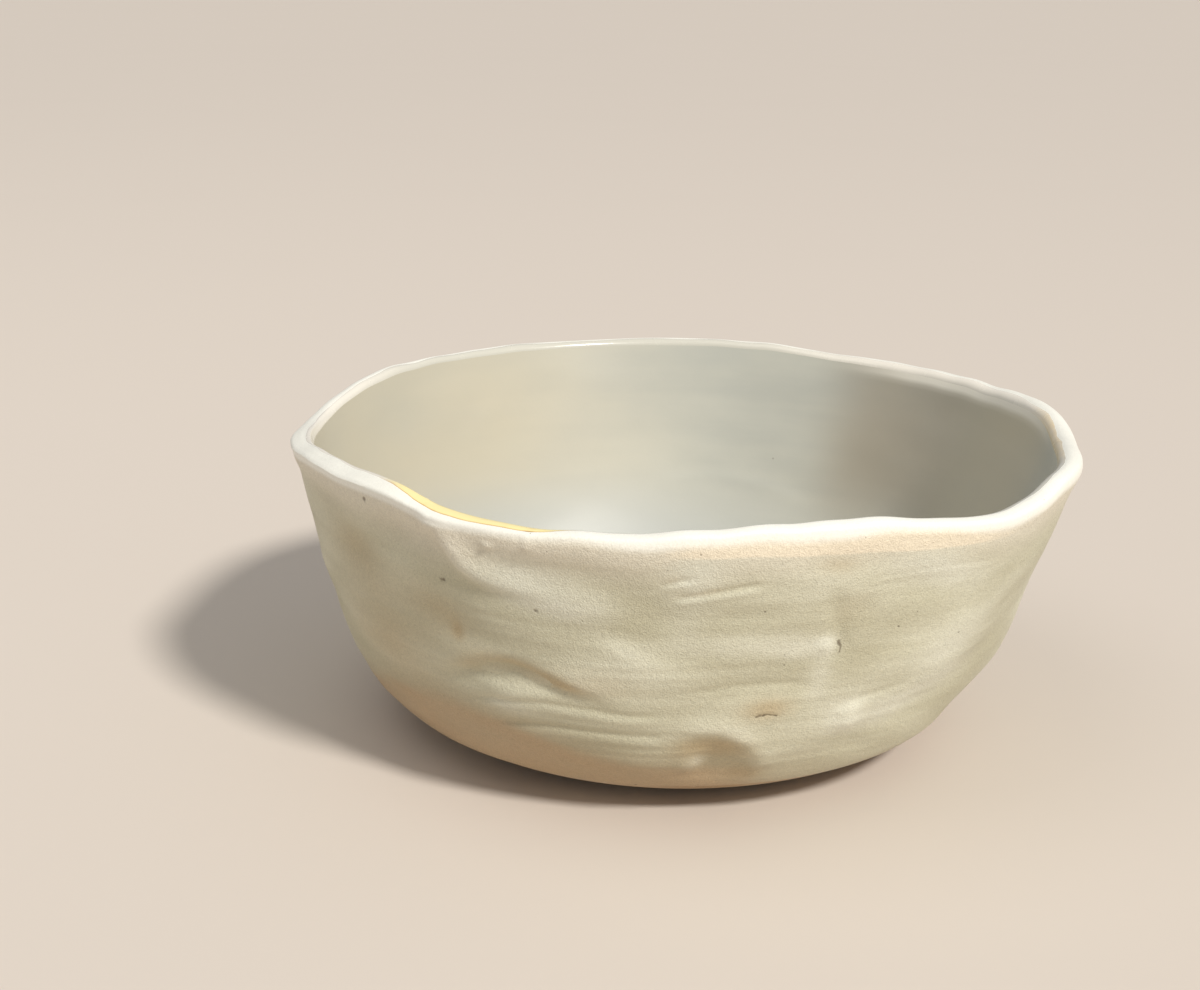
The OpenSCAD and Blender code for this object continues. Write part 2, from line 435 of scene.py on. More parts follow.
def fineRelief(bearing, run):
    rng = np.random.default_rng(handMarks["seed"] + 1)
    low, high, ringsOff = handMarks["topCalm"]
    total = sumWaves(bearing, run, handMarks["rings"], rng)
    total *= 1 - ringsOff * smooth(run, slabRun + low, slabRun + high)
    place, span, wipedOff = handMarks["wiped"]
    total *= 1 - wipedOff * smooth(np.cos(np.radians(bearing - place)), *span)
    for mark in handMarks["creases"]:
        total += drawFold(bearing, run, mark)
    for mark in handMarks["nubs"]:
        total += pressDent(bearing, run, mark)
    return np.maximum(total * smooth(run, slabRun, slabRun + handMarks["footFade"][1]), -handMarks["deepest"])


lipHand = {
    "seed": 5,
    # size, range of turns and count of the waves that make each unevenness
    "swell": (0.16, (3, 22), 9),  # mm that the lip thickens and thins
    "ripple": (0.12, (14, 46), 10),  # mm of small rises along the lip
    "lineWander": (5.0, (6, 40), 10),  # degrees that the honey line's edge wanders
    "lineDrips": (1.5, (60, 110), 8),  # degrees that the satin glaze drips down over it
    "lineLow": 6,  # degrees that the line's edge lies below its place in the solids
    "lineLimits": (50, 150),  # degrees round the lip
    "swellFade": 12.0,  # mm below the lip
    # where the lip is squared: bearing and spread, angle round the lip and its spread, and mm
    "shoulders": [
        (300, 900, 54, 20, 0.2), (300, 40, 54, 20, 0.2), (208, 32, 38, 17, 0.8), (208, 32, 132, 15, 0.7),
    ],
    "beadPlace": (2.4, 3.6),  # mm below the lip where its outside stands proud, and the spread
    # bearing, spread and size
    "lineClimbs": [(241.5, 12.5, 52), (4, 30, -14)],  # degrees that the honey line runs up over the lip
    "beads": [(208, 30, 0.3), (268, 30, 0.4)],  # mm that the lip's outside stands proud
    "thick": [(6, 42, 0.9), (208, 32, 0.2)],  # mm that the lip is thicker
    "pulls": [(352, 14, -3.6), (334, 8, 0.7)],  # mm that the lip is pulled out, or in
    "dips": [  # mm of small rises and dips in the crest
        (219, 13, -1.5), (239, 9, -0.8), (256.5, 3.2, 0.6), (266, 3.6, -0.6), (276, 4.0, -0.35),
        (284.5, 3.4, -0.8), (289, 3.2, -0.6), (303, 6.0, -0.75), (312, 5.0, -0.6), (322, 6.0, -1.0),
        (27, 12, -1.2),
    ],
}


def sumRuns(bearing, runs, power=4):
    return sum(size * np.exp(-((turnFrom(bearing, place) / spread) ** power)) for place, spread, size in runs)


def roundNoise(bearing, seed, size, turns, count):
    rng = np.random.default_rng(seed)
    turn = np.radians(bearing)
    total = np.zeros(np.shape(bearing))
    for _ in range(count):
        total += np.cos(rng.integers(*turns) * turn + rng.uniform(0, 2 * math.pi))
    return size * total / math.sqrt(count)


def lineEdge(bearing):
    edge = lineStart + lipHand["lineLow"] + roundNoise(bearing, lipHand["seed"], *lipHand["lineWander"])
    edge = edge + np.maximum(0, roundNoise(bearing, lipHand["seed"] + 3, *lipHand["lineDrips"]))
    return np.clip(edge - sumRuns(bearing, lipHand["lineClimbs"]), *lipHand["lineLimits"])


# a section is drawn as a chain of vertices and spun round the upright axis
def spinSection(name, rows, columns):
    bpy.ops.object.select_all(action="DESELECT")
    bpy.ops.mesh.primitive_plane_add(size=mm)
    piece = bpy.context.object
    piece.name = piece.data.name = name
    bpy.ops.object.mode_set(mode="EDIT")
    bpy.ops.mesh.merge(type="CENTER")
    bpy.ops.transform.translate(value=(rows[0, 0] * mm, 0, rows[0, 1] * mm))
    for step in np.diff(rows[:, :2], axis=0) * mm:
        bpy.ops.mesh.extrude_vertices_move(TRANSFORM_OT_translate={"value": (step[0], 0, step[1])})
    if rows[0, 0] > 0:  # a section off the axis is closed
        chain = bmesh.from_edit_mesh(piece.data)
        chain.verts.ensure_lookup_table()
        for vertex in chain.verts:
            vertex.select = vertex.index in (0, len(chain.verts) - 1)
        chain.select_flush_mode()
        bpy.ops.mesh.edge_face_add()
    bpy.ops.mesh.select_all(action="SELECT")
    bpy.ops.mesh.spin(steps=columns, angle=2 * math.pi, center=(0, 0, 0), axis=(0, 0, 1))
    bpy.ops.mesh.select_all(action="SELECT")
    bpy.ops.mesh.remove_doubles(threshold=0.002 * mm)
    bpy.ops.mesh.normals_make_consistent(inside=False)
    bpy.ops.object.mode_set(mode="OBJECT")
    return piece


def vertexPlaces(piece):
    places = np.empty(len(piece.data.vertices) * 3)
    piece.data.vertices.foreach_get("co", places)
    return places.reshape(-1, 3) / mm


def keepValues(piece, name, values):
    layer = piece.data.attributes.new(name, "FLOAT", "POINT")
    layer.data.foreach_set("value", np.asarray(values, np.float32))


# the row of the section that each vertex was spun from
def rowsOf(rows, radius, height):
    finder = kdtree.KDTree(len(rows))
    for index, row in enumerate(rows):
        finder.insert((row[0], 0, row[1]), index)
    finder.balance()
    return rows[[finder.find((r, 0, z))[1] for r, z in zip(radius, height)]]


# mm by which the lip and the top of the wall swell
def swellAt(bearing, run, inShare, lip, turned):
    onLip = lip >= 0
    swell = roundNoise(bearing, lipHand["seed"] + 1, *lipHand["swell"]) + sumRuns(bearing, lipHand["thick"])
    swell = swell * smooth(run, lipStartRun - lipHand["swellFade"], lipStartRun)
    for place, spread, middle, wide, size in lipHand["shoulders"]:
        square = np.exp(-(((turned - middle) / wide) ** 2)) * onLip
        swell = swell + square * sumRuns(bearing, [(place, spread, size)])
    under, spread = lipHand["beadPlace"]
    below = np.where(onLip, -np.radians(lip) * lipR, lipStartRun - run) - under
    outside = np.where(onLip, np.cos(np.radians(lip)).clip(0, 1), 1 - inShare)
    bead = np.exp(-((below / spread) ** 2)) * outside
    return swell + bead * sumRuns(bearing, lipHand["beads"])


# the spun piece is pushed into the bowl's uneven shape, the same way for every piece, so they still fit
def handForm(piece, rows, crowd=0.0):
    places = vertexPlaces(piece)
    radius = np.hypot(places[:, 0], places[:, 1])
    r, z, t, inShare, lip, coat, skin = rowsOf(rows, radius, places[:, 2]).T
    bearing = np.degrees(np.arctan2(places[:, 1], places[:, 0])) % 360
    bearing = bearing - np.degrees(crowd * np.sin(np.radians(bearing - 270)))  # more columns at the front
    run, outward, onLip = runAt(t), -inwardAt(t), lip >= 0
    # the coats on both sides of the honey line follow its edge
    edge = lineEdge(bearing)
    pastEdge = 180 - (180 - lip) / (180 - lineStart) * (180 - edge)
    overLip = np.where(lip > lineStart, pastEdge, lip / lineStart * edge)
    turned = np.where(coat > 0, overLip, lip)
    turn = np.radians(turned)[:, None]
    lipOutward = np.cos(turn) * lipSide + np.sin(turn) * lipAxis
    lipPlace = lipCentre + (lipR + coat)[:, None] * lipOutward
    section = np.where(onLip[:, None], lipPlace, np.column_stack([r, z]))
    broad, fine = broadRelief(bearing, run), fineRelief(bearing, run) * skin
    moved = outward * (broad * (1 - (1 - handMarks["insideShare"]) * inShare) + fine)[:, None]
    swellWay = np.where(onLip[:, None], lipOutward, outward * (1 - 2 * inShare)[:, None])
    moved = moved + swellWay * swellAt(bearing, run, inShare, lip, turned)[:, None]
    sway = swayAt(section[:, 1])
    pull = sumRuns(bearing, lipHand["pulls"], 2)
    across = section[:, 0] + sway * lipOut(bearing) + sway ** 2 * pull + moved[:, 0]
    crest = sumRuns(bearing, lipHand["dips"], 2)
    crest = crest + roundNoise(bearing, lipHand["seed"] + 2, *lipHand["ripple"])
    placed = np.column_stack([
        footX * (1 - sway) + across * np.cos(np.radians(bearing)),
        across * np.sin(np.radians(bearing)),
        section[:, 1] + sway * lipRise(bearing) + moved[:, 1] + sway ** 4 * crest,
    ])
    piece.data.vertices.foreach_set("co", (placed * mm).ravel())
    piece.data.update()
    return {
        "place": placed, "bearing": bearing, "run": run, "lip": np.where(onLip, turned, -1),
        "skin": skin, "relief": broad + fine, "height": section[:, 1],
    }


def showSmooth(piece, degrees=40):
    bpy.ops.object.select_all(action="DESELECT")
    piece.select_set(True)
    bpy.context.view_layer.objects.active = piece
    bpy.ops.object.shade_smooth_by_angle(angle=math.radians(degrees))


def handOver(piece, node, finish):
    showSmooth(piece)
    piece.data.materials.clear()
    piece.data.materials.append(finish)
    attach(piece, "root")
    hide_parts(node)
    print("%s: %d faces" % (piece.name, len(piece.data.polygons)))


# one socket of a material: sums on it add Math nodes, and any other node comes from node()
class Wire:
    def __init__(self, tree, socket=None):
        self.tree, self.socket = tree, socket

    def node(self, kind, settings=None, inputs=None, output=0):
        made = self.tree.nodes.new(kind)
        for name, value in (settings or {}).items():
            setattr(made, name, value)
        for name, value in (inputs or {}).items():
            if isinstance(value, Wire):
                self.tree.links.new(value.socket, made.inputs[name])
            else:
                made.inputs[name].default_value = value
        return Wire(self.tree, made.outputs[output] if len(made.outputs) else None)

    def other(self, output):
        return Wire(self.tree, self.socket.node.outputs[output])

    def math(self, operation, first, second=0.0):
        return self.node("ShaderNodeMath", {"operation": operation}, {0: first, 1: second})

    def __add__(self, value):
        return self.math("ADD", self, value)

    def __radd__(self, value):
        return self.math("ADD", value, self)

    def __sub__(self, value):
        return self.math("SUBTRACT", self, value)

    def __rsub__(self, value):
        return self.math("SUBTRACT", value, self)

    def __mul__(self, value):
        return self.math("MULTIPLY", self, value)

    def __rmul__(self, value):
        return self.math("MULTIPLY", value, self)

    def __truediv__(self, value):
        return self.math("DIVIDE", self, value)

    def __rtruediv__(self, value):
        return self.math("DIVIDE", value, self)

    def ramp(self, low, high):
        return self.node("ShaderNodeMapRange", {"interpolation_type": "SMOOTHSTEP"},
                         {"Value": self, "From Min": low, "From Max": high})

    def stretched(self, scale):
        return self.vector("MULTIPLY", self, scale)

    # noise about zero
    def noise(self, scale, detail, roughness):
        inputs = {"Vector": self, "Scale": scale, "Detail": detail, "Roughness": roughness}
        return self.node("ShaderNodeTexNoise", {}, inputs) - 0.5

    # sparse specks: a cell has one if its chance is over rare, and a larger one the more it is over
    def specks(self, scale, size, rare, more, fade):
        cells = self.node("ShaderNodeTexVoronoi", {"feature": "F1"}, {"Vector": self, "Scale": scale})
        chance = cells.node("ShaderNodeSeparateColor", {}, {0: cells.other("Color")})
        return 1 - (cells * size - (chance - rare) * more).ramp(*fade)

    def mix(self, first, second):
        first, second = [v if isinstance(v, Wire) else (*v, 1) for v in (first, second)]
        return self.node("ShaderNodeMix", {"data_type": "RGBA"}, {0: self, 6: first, 7: second}, 2)

    def bump(self, strength, distance):
        inputs = {"Strength": strength, "Distance": distance * mm, "Height": self}
        return self.node("ShaderNodeBump", {}, inputs, "Normal")

    def vector(self, operation, first, second, output=0):
        return self.node("ShaderNodeVectorMath", {"operation": operation}, {0: first, 1: second}, output)

    # how far a place is from the straight stroke between two points
    def fromStroke(self, first, last):
        stroke = [b - a for a, b in zip(first, last)]
        share = 1 / sum(c * c for c in stroke)
        away = self.vector("SUBTRACT", self, first)
        along = away.vector("DOT_PRODUCT", away, [c * share for c in stroke], "Value")
        along = along.node("ShaderNodeClamp", {}, {"Value": along})
        along = along.node("ShaderNodeCombineXYZ", {}, {0: along, 1: along, 2: along})
        return away.vector("DISTANCE", away, along.stretched(stroke), "Value")

    def value(self, name):
        return self.node("ShaderNodeAttribute", {"attribute_name": name}, output="Fac")


def newFinish(name):
    finish = bpy.data.materials.new(name)
    finish.use_nodes = True
    finish.node_tree.nodes.clear()
    start = Wire(finish.node_tree)
    return finish, start, start.node("ShaderNodeTexCoord", output="Object")


def closeFinish(start, **sockets):
    names = {"colour": "Base Color", "rough": "Roughness", "normal": "Normal", "coat": "Coat Weight",
             "coatRough": "Coat Roughness", "specular": "Specular IOR Level"}
    shader = start.node("ShaderNodeBsdfPrincipled", {}, {names[k]: v for k, v in sockets.items()})
    start.node("ShaderNodeOutputMaterial", {}, {"Surface": shader})


satinGlaze = {
    "columns": 420,
    "crowd": 0.45,  # how much closer the columns stand at the front
    "wallRows": 188,
    "lipRows": 14,
    "hiddenRows": 16,
    "edgeThin": (0.25, -0.4, 2.0),  # share of the coat at its lower edge, and mm between which it thickens
    "cream": (0.655, 0.632, 0.485),
    "sage": (0.508, 0.477, 0.338),
    "pale": (0.742, 0.728, 0.604),
    "underLip": (0.79, 0.73, 0.605),
    # painted shade: a warm tan low on the outside, standing in for shade and warm bounce light toward the
    # foot
    "tan": (0.41, 0.305, 0.178),
    "toast": (0.51, 0.345, 0.20),  # painted deeper shade, where the tan is deepest at the foot
    "warm": (0.50, 0.405, 0.25),
    "blush": (0.94, 0.825, 0.635),
    "lip": (0.895, 0.882, 0.80),
    "speck": (0.10, 0.065, 0.035),
    "rough": 0.52,
    "blushSpan": (263, 325),  # bearings between which the pale blush under the lip shows
    "blushPeak": (275, 302),
    "blushDeep": (8.5, 0.8, 294, 7),  # mm that it reaches down, and size, bearing and count of its waves
    "blushEdge": (1.1, 0.4),  # mm above and below that over which it gives out
    "whiteDeep": 3.3,  # mm that the white lip reaches down
    "whiteSeed": 21,
    "whiteWaves": (0.5, (3, 18), 8),  # mm, range of turns and count
    "whiteRuns": [(210, 32, 0.96), (249, 12, -0.672), (271, 9, 0.6), (322, 22, 1.08)],  # mm deeper
    "whiteEdge": (2.2, 2.6),  # mm above and below over which it gives out
    "whiteCrisp": (210, 32, 0.5),  # bearing, spread and share by which its edge is crisper
    "footTop": (22.5, 14, 232, 26),  # mm that the painted shade's tan reaches up, and how much more, at which bearing
    "footFade": (15, 11),  # mm below and above that over which it gives out
    "footClear": (340, 58, 0.75),  # bearing, spread and share by which the painted shade's tan gives out on the lit right
    # bearing, height, width, tall, turn and strength of warmer patches, partly glaze tone and partly painted
    # shade, and of paler patches, partly glaze tone and partly painted light
    "warmPatches": [
        (278.8, 26, 9, 6, -15, 0.9), (273, 26, 7, 6, 0, 0.4), (284, 39, 8, 4, 0, 0.7),
        (246.9, 49.8, 9, 2.6, 0, 0.6), (253.5, 46.4, 8, 2.8, -19, 0.9), (240, 47, 6, 3, 20, 0.5),
        (238.2, 55.2, 2, 3, 0, 0.5), (283.5, 16, 6, 4, 0, 0.8), (260, 47.5, 11, 5, -10, 0.4),
        (217.5, 66, 11, 8, 0, 0.25), (236, 60, 13, 7, -10, 0.45), (222, 46, 24, 16, 0, 0.6),
        (212, 70, 22, 12, 0, 0.3), (269.6, 78.6, 4, 1.7, 14, 0.6), (289.5, 79.5, 7, 3.2, -5, 0.5),
        (272.5, 73.7, 7, 1.4, 9, 0.5), (293, 66, 7, 6, 0, 0.3), (120, 55, 40, 18, 0, 0.3),
    ],
    # paler patches: partly glaze tone, partly painted highlights on lit ridges and bumps
    "palePatches": [
        (279, 58, 22, 5, 0, 0.55), (290.5, 56.5, 2.6, 2.2, 0, 0.8), (314, 48, 18, 14, 0, 0.75),
        (303, 77, 15, 6, -8, 0.8), (297, 37, 12, 11, 0, 0.6), (272, 80, 9, 5, 0, 0.8),
        (249, 75.5, 14, 8, -16, 0.95), (259, 72, 9, 4, -15, 0.4), (263.5, 58, 8, 3, -20, 0.45),
        (60, 62, 26, 12, 0, 0.4), (271, 70, 8, 11, 0, 0.5), (287, 55, 7, 4, 0, 0.6),
        (311, 73, 14, 6, -10, 0.5), (306, 34, 14, 6, 15, 0.6), (245.5, 36, 8, 3, 0, 0.6),
        (256, 68, 12, 4, -12, 0.5), (291, 50, 4, 9, 0, 0.6), (297, 34, 6, 5, 0, 0.5),
        (275, 20, 3, 4, 0, 0.7), (343, 56, 24, 28, 0, 0.6), (338, 27, 22, 10, 0, 0.5),
    ],
    # iron strokes and specks: bearing and height of one end, of the other, and half the width in mm
    "specks": [
        ((223.1, 85.2), (223.3, 85.2), 0.8),
        ((236.6, 70.2), (237.2, 70.1), 0.62),
        ((251.2, 67.4), (251.4, 67.3), 0.8),
        ((271.8, 84.8), (271.9, 84.8), 0.34),
        ((281.0, 67.4), (281.1, 67.4), 0.32),
        ((292.0, 86.0), (292.1, 86.0), 0.36),
        ((292.6, 56.9), (292.9, 55.4), 0.50),
        ((292.9, 55.4), (293.1, 53.9), 0.40),
        ((282.4, 36.8), (283.2, 37.1), 0.46),
        ((283.5, 37.2), (284.2, 37.4), 0.40),
        ((284.2, 37.4), (285.5, 37.0), 0.27),
        ((268.0, 81.0), (268.1, 81.0), 0.22),
        ((301.0, 60.0), (301.1, 60.0), 0.26),
        ((30.0, 62.0), (30.2, 62.0), 0.50),
        ((95.0, 40.0), (95.8, 40.1), 0.45),
        ((150.0, 70.0), (150.1, 70.3), 0.45),
    ],
}


def satinFinish(look, spots):
    finish, start, coords = newFinish("satinGlaze")
    fromLip, relief, blush, paintedFootShade, white, warm, pale = [
        start.value(n) for n in ("fromLip", "relief", "blush", "paintedFootShade", "lipWhite", "warm", "pale")
    ]
    clouds = coords.stretched((13, 13, 42)).noise(1.0, 2, 0.5)
    mottle = coords.stretched((34, 34, 80)).noise(1.0, 4, 0.55)
    streaks = coords.stretched((9, 9, 210)).noise(1.0, 3, 0.55)
    grain = coords.noise(2300, 2, 0.6)
    fleck = coords.noise(700, 2, 0.5)
    tone = (clouds * 0.5 + mottle * 0.32 + streaks * 0.18 + relief * 0.08).ramp(-0.14, 0.18)
    colour = tone.mix(look["sage"], look["cream"])
    colour = (relief.ramp(0.3, 1.4) * 0.5).mix(colour, look["pale"])
    under = (1 - (fromLip + clouds * 12).ramp(3, 20)) * 0.85
    colour = under.mix(colour, look["underLip"])
    # warmer patches: partly glaze tone, partly painted shade in creases, hollows and on the shaded left
    colour = (warm * (mottle * 1.2 + 0.9)).ramp(0, 1).mix(colour, look["warm"])
    # paler patches, partly painted highlights
    colour = (pale * (mottle * 1.2 + 0.8)).ramp(0, 1).mix(colour, look["pale"])
    # painted shade toward the foot: tan, and deeper at the bottom
    foot = (paintedFootShade * (clouds * 0.7 + streaks * 0.3 + 1)).ramp(0.1, 0.9)
    colour = (foot * 0.6).mix(colour, look["tan"])
    colour = (foot.ramp(0.6, 1.0) * (mottle * 0.8 + 0.5)).mix(colour, look["toast"])
    blushMask = (blush * (streaks * 0.6 + mottle * 0.5 + grain * 0.5 + 1)).ramp(0.12, 0.9)
    colour = (blushMask * 0.7).mix(colour, look["blush"])
    lipMask = (white * (mottle * 0.5 + grain * 0.4 + 1)).ramp(0.05, 0.95)
    colour = (lipMask * 0.97).mix(colour, look["lip"])
    # scattered specks, then the larger ones in their places
    specks = coords.specks(240, 24, 0.95, 32, (0, 1.0)) * 0.7
    for first, last, size in spots:
        far = coords.fromStroke(first, last) / size
        specks = specks.math("MAXIMUM", specks, (1 - (far + fleck * 2.2).ramp(0.1, 1.3)) * 0.8)
    colour = (specks * 0.85).mix(colour, look["speck"])
    dry = 1 - lipMask * 0.6  # the white lip is smoother
    sand = (grain * 0.5 + fleck * 0.15) * dry + 1
    sand = sand.node("ShaderNodeCombineColor", {}, {0: sand, 1: sand, 2: sand})
    colour = colour.vector("MULTIPLY", colour, sand)
    bump = ((grain * 0.6 + fleck * 0.4 + 0.5) * dry - specks * 0.5).bump(1.0, 0.4)
    rough = look["rough"] + mottle * 0.16 - lipMask * 0.08
    closeFinish(start, colour=colour, rough=rough, normal=bump, specular=0.35)
    return finish


# the place on the skin at a bearing and height, from the nearest three vertices
def placeOn(marks, skin, spot):
    bearing, height = spot
    t = tAtHeight(height)
    across = np.radians(turnFrom(marks["bearing"][skin], bearing)) * outsideAt(t)[0]
    far = np.hypot(across, marks["run"][skin] - runAt(t))
    near = np.argsort(far)[:3]
    weight = 1 / (far[near] + 0.01)
    return tuple((marks["place"][skin[near]] * weight[:, None]).sum(0) / weight.sum() * mm)


def outerCoat(look):
    ts = tAtRun(np.linspace(slabRun, lipStartRun, look["wallRows"]))
    least, low, high = look["edgeThin"]
    thin = least + (1 - least) * smooth(runAt(ts) - slabRun, low, high)
    angles = np.linspace(0, lineStart, look["lipRows"])[1:]
    back = tAtRun(np.linspace(lipStartRun, slabRun, look["hiddenRows"]))
    rows = np.concatenate([
        wallRows(ts, -glazeT * thin, 1), lipRows(angles, glazeT, 1),
        lipRows(angles[::-3], 0), wallRows(back, 0),
    ])
    piece = spinSection("outerGlaze", rows, look["columns"])
    marks = handForm(piece, rows, look["crowd"])
    bearing = marks["bearing"] % 360
    lipArc = np.radians(90 - marks["lip"]) * (lipR + glazeT)
    below = np.radians(90) * (lipR + glazeT) + lipStartRun - marks["run"]
    fromLip = np.where(marks["lip"] >= 0, lipArc, below)
    keepValues(piece, "fromLip", fromLip)
    keepValues(piece, "relief", marks["relief"])
    # painted shade toward the foot, highest on the shaded left
    level, more, place, spread = look["footTop"]
    top = level + sumRuns(bearing, [(place, spread, more)], 2)
    low, high = look["footFade"]
    paintedFootShade = 1 - smooth(marks["height"], top - low, top + high)
    keepValues(piece, "paintedFootShade", paintedFootShade * (1 - sumRuns(bearing, [look["footClear"]])))
    # warmer patches with painted shade, paler ones with painted light
    for name in ("warm", "pale"):
        patches = sum(-pressDent(bearing, marks["run"], patch) for patch in look[name + "Patches"])
        keepValues(piece, name, patches.clip(0, 1))
    low, high = look["blushSpan"]
    first, last = look["blushPeak"]
    around = smooth(bearing, low, first) * (1 - smooth(bearing, last, high))
    deep, size, place, waves = look["blushDeep"]
    bottom = deep + size * np.cos(np.radians(bearing - place) * waves)
    above, below = look["blushEdge"]
    keepValues(piece, "blush", around * (1 - smooth(fromLip, bottom - above, bottom + below)))
    whiteTo = look["whiteDeep"] + roundNoise(bearing, look["whiteSeed"], *look["whiteWaves"])
    whiteTo = whiteTo + sumRuns(bearing, look["whiteRuns"])
    above, below = np.outer(look["whiteEdge"], 1 - sumRuns(bearing, [look["whiteCrisp"]]))
    keepValues(piece, "lipWhite", 1 - smooth(fromLip, whiteTo - above, whiteTo + below))
    skin = np.flatnonzero(marks["skin"])
    spots = []
    for first, last, size in look["specks"]:
        spots.append((placeOn(marks, skin, first), placeOn(marks, skin, last), size * mm))
    handOver(piece, "outer_glaze", satinFinish(look, spots))


glossLiner = {
    "columns": 300,
    "floorRows": 26,
    "wallRows": 100,
    "hiddenRows": (14, 6),  # of the wall and the floor
    "grey": (0.465, 0.468, 0.415),
    "cream": (0.55, 0.542, 0.466),
    "speck": (0.13, 0.09, 0.05),
    "rough": 0.5,
    "warmSide": 165,  # bearing of the wall with the warmer glaze
    "warmSpan": (0.1, 0.95),  # cosines off that bearing between which it comes in
    "warmRun": (20, 17, 1.0),  # bearing, spread and strength of more of it on the right, where it is painted light on the wall that lies in shade
    "warmFrom": (20, 50),  # mm of height over which it comes in
    "warm": (0.57, 0.51, 0.38),
    "pool": (0.43, 0.445, 0.425),  # low down
    "poolTo": (12, 48, 14),  # mm of height over which it gives out, and how much higher on the warm side
    "brimPaintedLight": (0.93, 0.885, 0.775),  # painted light: a paler band below the lip on the inside, where it lies in shade
    "brimPaintedLightRun": (31, 25, 1.0),  # bearing, spread and strength
    "brimPaintedLightDeep": (1.0, 3.9),  # mm below the lip over which it gives out
    "paintedShade": (0.39, 0.338, 0.255),  # painted shade: browner and darker at the back right of the inside wall, where it lies in shade
    "paintedShadeRun": (46, 15, 0.8),  # bearing, spread and strength
    "paintedShadeFrom": (24, 56),  # mm of height over which it comes in
}


def linerFinish(look):
    finish, start, coords = newFinish("glossLiner")
    clouds = coords.stretched((16, 16, 26)).noise(1.0, 4, 0.5)
    streaks = coords.stretched((12, 12, 140)).noise(1.0, 3, 0.5)
    grain = coords.noise(900, 2, 0.5)
    tone = (clouds * 0.7 + streaks * 0.3).ramp(-0.15, 0.18)
    colour = tone.mix(look["grey"], look["cream"])
    # the warmer glaze, the pool low down, and the painted shade at the back right
    for name, strength in (("warm", 0.75), ("pool", 0.75), ("paintedShade", 0.85)):
        colour = (start.value(name) * (clouds * 0.8 + strength)).mix(colour, look[name])
    # painted light in a pale band below the lip
    colour = start.value("brimPaintedLight").mix(colour, look["brimPaintedLight"])
    specks = coords.specks(170, 24, 0.95, 30, (0, 1.2))
    colour = (specks * 0.6).mix(colour, look["speck"])
    bump = (grain * 0.3 + clouds).bump(0.12, 0.4)
    rough = look["rough"] + clouds * 0.12
    closeFinish(start, colour=colour, rough=rough, normal=bump, coat=0.12, coatRough=0.42)
    return finish


def linerCoat(look):
    wallHidden, floorHidden = look["hiddenRows"]
    back = np.linspace(0, 1, wallHidden)[1:]
    front = np.linspace(0, 1, look["wallRows"])[:0:-1]
    rows = np.concatenate([
        floorRows(np.linspace(0, heel[0], floorHidden), 0),
        wallRows(back, wallAt(back)),
        wallRows(front, wallAt(front) + glazeT),
        floorRows(np.linspace(heel[0], 0, look["floorRows"]), glazeT),
    ])
    piece = spinSection("linerGlaze", rows, look["columns"])
    marks = handForm(piece, rows)
    bearing, height = marks["bearing"], marks["height"]
    around = np.cos(np.radians(bearing - look["warmSide"]))
    # the warmer glaze on the left, plus painted light on the shaded right
    warm = smooth(around, *look["warmSpan"]) + sumRuns(bearing, [look["warmRun"]])
    keepValues(piece, "warm", warm * smooth(height, *look["warmFrom"]))
    low, high, tilt = look["poolTo"]
    keepValues(piece, "pool", 1 - smooth(height - tilt * around, low, high))
    # painted shade at the back right of the inside wall
    keepValues(piece, "paintedShade", sumRuns(bearing, [look["paintedShadeRun"]]) * smooth(height, *look["paintedShadeFrom"]))
    # painted light below the lip, on the shaded inside
    brimPaintedLight = 1 - smooth(lipStartRun - marks["run"], *look["brimPaintedLightDeep"])
    keepValues(piece, "brimPaintedLight", brimPaintedLight * sumRuns(bearing, [look["brimPaintedLightRun"]]))
    handOver(piece, "liner_glaze", linerFinish(look))


honeyLine = {
    "columns": 420,
    "crowd": 0.45,
    "rows": 12,
    "bead": 0.12,  # mm that the middle of the line stands proud
    "gold": (0.95, 0.82, 0.40),
    # painted shade: the gold of the line as it looks in shade on the right
    "shadedGold": (0.80, 0.66, 0.43),
    "rust": (0.66, 0.40, 0.14),
    "edgeTurn": (2.7, 9),  # degrees of the lip over which the line's darker edge gives out
    "thin": (0.61, 0.59, 0.51),  # where the honey glaze is thin
    "pale": (0.90, 0.845, 0.745),  # painted light on the lip where it lies in shade
    "rough": 0.26,
    # bearing, spread and strength where the line is golden, where it is gold painted in shade, or pale with
    # painted light
    "goldRuns": [(241, 15, 1.0)],
    "shadedGoldRuns": [(355, 18, 0.8)],
    "paleRuns": [(30, 42, 0.9), (193, 40, 0.9)],
}


def honeyFinish(look):
    finish, start, coords = newFinish("honeyLine")
    gold, shadedGold, edge, pale = [start.value(n) for n in ("gold", "shadedGold", "edge", "pale")]
    pool = coords.noise(210, 3, 0.5)
    grain = coords.noise(900, 2, 0.5)
    # painted light on the shaded parts of the lip
    colour = pale.mix(look["thin"], look["pale"])
    # painted shade: darker gold on the shaded right
    colour = (shadedGold * (pool + 1)).ramp(0.0, 1.0).mix(colour, look["shadedGold"])
    rich = (pool.ramp(0.02, 0.25) * 0.35 + edge * (pool + 1)).ramp(0, 1).mix(look["gold"], look["rust"])
    colour = (gold * (pool * 0.4 + 1)).ramp(0.1, 0.7).mix(colour, rich)
    rough = look["rough"] + pool * 0.1
    closeFinish(start, colour=colour, rough=rough, normal=grain.bump(0.15, 0.3), coat=0.3, coatRough=0.15)
    return finish


